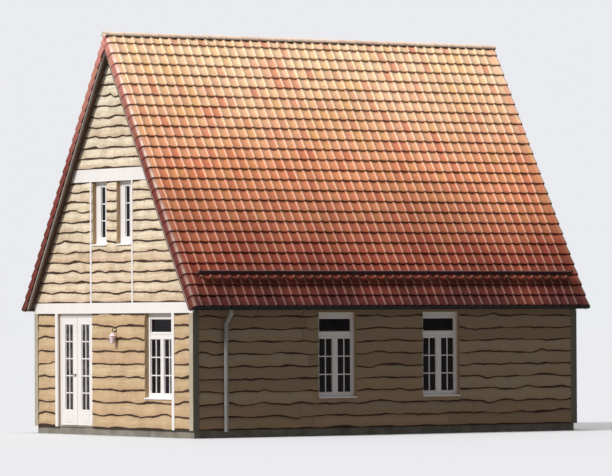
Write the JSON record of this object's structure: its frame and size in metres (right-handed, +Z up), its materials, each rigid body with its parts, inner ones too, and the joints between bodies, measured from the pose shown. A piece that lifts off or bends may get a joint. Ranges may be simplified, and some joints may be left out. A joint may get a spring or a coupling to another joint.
{
  "type": "boathouse cottage",
  "caption": "Lakeside boathouse cottage with a steep tiled gable roof, waney-edge timber walls, white bands and a pair of French doors.",
  "frame": {"origin": "centre of the house's footprint, on the ground", "axes": "+Z up, the front gable looks along -Y, the ridge runs along Y"},
  "size_m": [6.652, 9.56, 8.0382],
  "materials": {
    "stone": "rough plinth stone",
    "floor_wood": "oiled floor boards",
    "cladding": "weathered waney-edge boards",
    "rafters": "dark stained",
    "barge_wood": "weathered dark boards",
    "roof_tiles": "fired clay pantiles",
    "verge_clay": "fired clay edge tiles",
    "ridge_clay": "pale fired clay ridge tiles",
    "ridge_strip": "dark ridge filling",
    "gutter_metal": "dark painted gutter",
    "pipe_zinc": "dull zinc",
    "guard_metal": "dark painted snow guard",
    "white_paint": "white painted timber",
    "corner_paint": "pale grey painted timber",
    "window_glass": "dark double glazing",
    "fittings": "satin handles and hinges",
    "lamp_paint": "white painted lantern"
  },
  "bodies": {
    "house": {"plinth": "stone", "ground_floor": "floor_wood", "attic_floor": "floor_wood", "front_wall_left": "cladding", "front_wall_right": "cladding", "front_gable": "cladding", "back_wall": "cladding", "back_gable": "cladding", "left_side_wall": "cladding", "right_side_wall": "cladding", "roof_deck_left": "rafters", "roof_deck_right": "rafters", "roof_tiles_left": "roof_tiles", "roof_tiles_right": "roof_tiles", "ridge_seal": "ridge_strip", "ridge_tiles": "ridge_clay", "verge_tiles_front": "verge_clay", "verge_tiles_back": "verge_clay", "barge_boards_front": "barge_wood", "barge_boards_back": "barge_wood", "fascia_boards": "barge_wood", "gutters": "gutter_metal", "downpipes": "pipe_zinc", "snow_guards": "guard_metal", "front_bands": "white_paint", "back_bands": "white_paint", "front_trims": "white_paint", "back_trims": "white_paint", "corner_boards": "corner_paint", "door_posts": "white_paint", "door_head": "white_paint", "door_threshold": "stone", "door_hinges": "fittings", "front_window_frames": "white_paint", "front_window_glass": "window_glass", "back_window_frames": "white_paint", "back_window_glass": "window_glass", "side_window_frames": "white_paint", "side_window_glass": "window_glass", "wall_lamp": "lamp_paint"},
    "left_door": {"door_leaf_left": "white_paint", "door_glass_left": "window_glass", "door_handles": "fittings"},
    "right_door": {"door_leaf_right": "white_paint", "door_glass_right": "window_glass"}
  },
  "joints": [
    {"name": "left_door_hinge", "type": "hinge", "parent": "house", "child": "left_door", "pos_m": [-2.0375, -4.498, 1.25], "axis": [0, 0, 1], "range_deg": [0, 95]},
    {"name": "right_door_hinge", "type": "hinge", "parent": "house", "child": "right_door", "pos_m": [-0.8425, -4.498, 1.25], "axis": [0, 0, -1], "range_deg": [0, 95]}
  ]
}
